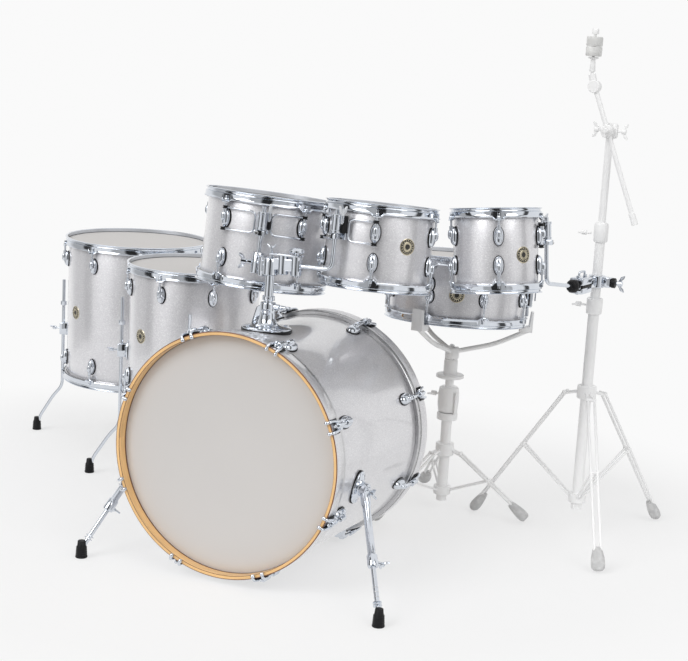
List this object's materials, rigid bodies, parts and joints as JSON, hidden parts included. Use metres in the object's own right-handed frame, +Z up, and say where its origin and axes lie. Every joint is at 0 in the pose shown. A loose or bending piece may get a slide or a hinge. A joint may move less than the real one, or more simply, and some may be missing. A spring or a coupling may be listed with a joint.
{
  "type": "drum kit",
  "caption": "Acoustic drum kit: bass drum on spurs carrying a tom holder with hung toms, legged floor toms, a snare in its stand and a boom cymbal stand, all bare of badges",
  "frame": {"origin": "centre of the kit's bounding box, on the floor", "axes": "+Z up; -Y towards the audience, the way the bass drum's front head faces; +X to the audience's right, the snare and cymbal-stand side"},
  "size_m": [1.9379, 1.3549, 1.3164],
  "materials": {
    "silver_sparkle": "silver metal-flake lacquer under clear gloss, on a plied wood shell",
    "chrome": "bright chrome plate on steel",
    "maple_hoop": "satin amber wood with a sparkle inlay",
    "coated_head": "coated off-white film",
    "clear_head": "clear film",
    "pale_stand": null,
    "steel_wire": "plain steel"
  },
  "bodies": {
    "kit_base": {"bass_shell": "silver_sparkle", "bass_front_hoop": "maple_hoop", "bass_rear_hoop": "maple_hoop", "bass_front_head": "coated_head", "bass_rear_head": "coated_head", "tom_holder_base": "chrome", "floor14_shell": "silver_sparkle", "floor14_batter_hoop": "chrome", "floor14_batter_head": "coated_head", "floor14_resonant_hoop": "chrome", "floor16_shell": "silver_sparkle", "floor16_batter_hoop": "chrome", "floor16_batter_head": "coated_head", "floor16_resonant_hoop": "chrome", "cymbal_stand_tripod": "pale_stand", "snare_stand_tripod": "pale_stand"},
    "spur_right_tube": {"spur_right_tube": "chrome"},
    "spur_right_leg": {"spur_right_leg": "chrome"},
    "spur_left_tube": {"spur_left_tube": "chrome"},
    "spur_left_leg": {"spur_left_leg": "chrome"},
    "holder_post": {"tom_holder_post": "chrome"},
    "tom12_arm": {"tom12_arm": "chrome"},
    "tom10_arm": {"tom10_arm": "chrome"},
    "tom8_arm": {"tom8_arm": "chrome"},
    "tom12_drum": {"tom12_shell": "silver_sparkle", "tom12_batter_hoop": "chrome", "tom12_batter_head": "coated_head", "tom12_resonant_head": "clear_head", "tom12_resonant_hoop": "chrome", "tom12_hanger": "chrome"},
    "tom10_drum": {"tom10_shell": "silver_sparkle", "tom10_batter_hoop": "chrome", "tom10_batter_head": "coated_head", "tom10_resonant_head": "clear_head", "tom10_resonant_hoop": "chrome", "tom10_hanger": "chrome"},
    "tom8_drum": {"tom8_shell": "silver_sparkle", "tom8_batter_hoop": "chrome", "tom8_batter_head": "coated_head", "tom8_resonant_head": "clear_head", "tom8_resonant_hoop": "chrome", "tom8_hanger": "chrome"},
    "floor14_leg_1": {"floor14_leg_1": "chrome"},
    "floor14_leg_2": {"floor14_leg_2": "chrome"},
    "floor14_leg_3": {"floor14_leg_3": "chrome"},
    "floor16_leg_1": {"floor16_leg_1": "chrome"},
    "floor16_leg_2": {"floor16_leg_2": "chrome"},
    "floor16_leg_3": {"floor16_leg_3": "chrome"},
    "snare_stand_upper": {"snare_stand_upper_tube": "pale_stand"},
    "snare_and_basket": {"snare_stand_basket": "pale_stand", "snare_shell": "silver_sparkle", "snare_batter_hoop": "chrome", "snare_batter_head": "coated_head", "snare_resonant_head": "clear_head", "snare_resonant_hoop": "chrome", "snare_wires": "steel_wire"},
    "strainer_lever": {"snare_strainer_lever": "chrome"},
    "cymbal_middle": {"cymbal_stand_middle_tube": "pale_stand"},
    "cymbal_upper": {"cymbal_stand_upper_tube": "pale_stand"},
    "cymbal_boom": {"cymbal_stand_boom": "pale_stand"}
  },
  "joints": [
    {"name": "spur_right_fold", "type": "hinge", "parent": "kit_base", "child": "spur_right_tube", "pos_m": [0.49702, -0.46927, 0.24135], "axis": [0.9803, -0.006, -0.1976], "range_deg": [0, 130]},
    {"name": "spur_right_extend", "type": "slide", "parent": "spur_right_tube", "child": "spur_right_leg", "axis": [0.4284, -0.5988, -0.6766], "range_m": [-0.07, 0.04]},
    {"name": "spur_left_fold", "type": "hinge", "parent": "kit_base", "child": "spur_left_tube", "pos_m": [-0.08722, -0.46927, 0.24135], "axis": [0.9803, 0.006, 0.1976], "range_deg": [0, 130]},
    {"name": "spur_left_extend", "type": "slide", "parent": "spur_left_tube", "child": "spur_left_leg", "axis": [-0.2517, -0.5888, -0.7681], "range_m": [-0.07, 0.04]},
    {"name": "holder_height", "type": "slide", "parent": "kit_base", "child": "holder_post", "axis": [0, 0.0305, 0.9995], "range_m": [-0.02, 0.04]},
    {"name": "tom12_tilt", "type": "hinge", "parent": "holder_post", "child": "tom12_arm", "pos_m": [0.17619, -0.41115, 0.72119], "axis": [-0.8443, 0.5358, 0], "range_deg": [-6, 6]},
    {"name": "tom10_tilt", "type": "hinge", "parent": "holder_post", "child": "tom10_arm", "pos_m": [0.23885, -0.42747, 0.73326], "axis": [0.9984, 0.0558, 0], "range_deg": [-5, 5]},
    {"name": "tom12_swivel", "type": "hinge", "parent": "tom12_arm", "child": "tom12_drum", "pos_m": [0.15482, -0.38511, 0.82162], "axis": [0.0382, 0.0993, 0.9943], "range_deg": [-3, 12]},
    {"name": "tom10_swivel", "type": "hinge", "parent": "tom10_arm", "child": "tom10_drum", "pos_m": [0.35942, -0.41033, 0.83975], "axis": [0.0069, 0.0976, 0.9952], "range_deg": [-3, 3]},
    {"name": "tom8_swivel", "type": "hinge", "parent": "tom8_arm", "child": "tom8_drum", "pos_m": [0.74261, -0.03587, 0.83261], "axis": [-0.1146, 0.0819, 0.99], "range_deg": [-10, 15]},
    {"name": "tom8_swing", "type": "hinge", "parent": "cymbal_middle", "child": "tom8_arm", "pos_m": [0.8019, 0.2306, 0.685], "axis": [0, 0, 1], "range_deg": [0, 25]},
    {"name": "floor14_leg_1_slide", "type": "slide", "parent": "kit_base", "child": "floor14_leg_1", "axis": [0, 0, 1], "range_m": [-0.05, 0.12]},
    {"name": "floor14_leg_2_slide", "type": "slide", "parent": "kit_base", "child": "floor14_leg_2", "axis": [0, 0, 1], "range_m": [-0.05, 0.12]},
    {"name": "floor14_leg_3_slide", "type": "slide", "parent": "kit_base", "child": "floor14_leg_3", "axis": [0, 0, 1], "range_m": [-0.05, 0.12]},
    {"name": "floor16_leg_1_slide", "type": "slide", "parent": "kit_base", "child": "floor16_leg_1", "axis": [0, 0, 1], "range_m": [-0.05, 0.12]},
    {"name": "floor16_leg_2_slide", "type": "slide", "parent": "kit_base", "child": "floor16_leg_2", "axis": [0, 0, 1], "range_m": [-0.05, 0.12]},
    {"name": "floor16_leg_3_slide", "type": "slide", "parent": "kit_base", "child": "floor16_leg_3", "axis": [0, 0, 1], "range_m": [-0.05, 0.12]},
    {"name": "snare_height", "type": "slide", "parent": "kit_base", "child": "snare_stand_upper", "axis": [0, 0, 1], "range_m": [-0.012, 0.04]},
    {"name": "snare_tilt", "type": "hinge", "parent": "snare_stand_upper", "child": "snare_and_basket", "pos_m": [0.4169, 0.2326, 0.445], "axis": [1, 0, 0], "range_deg": [-8, 4]},
    {"name": "snare_strainer", "type": "hinge", "parent": "snare_and_basket", "child": "strainer_lever", "pos_m": [0.63602, 0.24254, 0.61207], "axis": [-0.3495, 0.9344, -0.069], "range_deg": [0, 90]},
    {"name": "cymbal_height_low", "type": "slide", "parent": "kit_base", "child": "cymbal_middle", "axis": [0, 0, 1], "range_m": [-0.02, 0.12]},
    {"name": "cymbal_height_high", "type": "slide", "parent": "cymbal_middle", "child": "cymbal_upper", "axis": [0, 0, 1], "range_m": [-0.05, 0.18]},
    {"name": "cymbal_boom_tilt", "type": "hinge", "parent": "cymbal_upper", "child": "cymbal_boom", "pos_m": [0.8019, 0.2071, 1.068], "axis": [0, 1, 0], "range_deg": [-70, 15]}
  ]
}
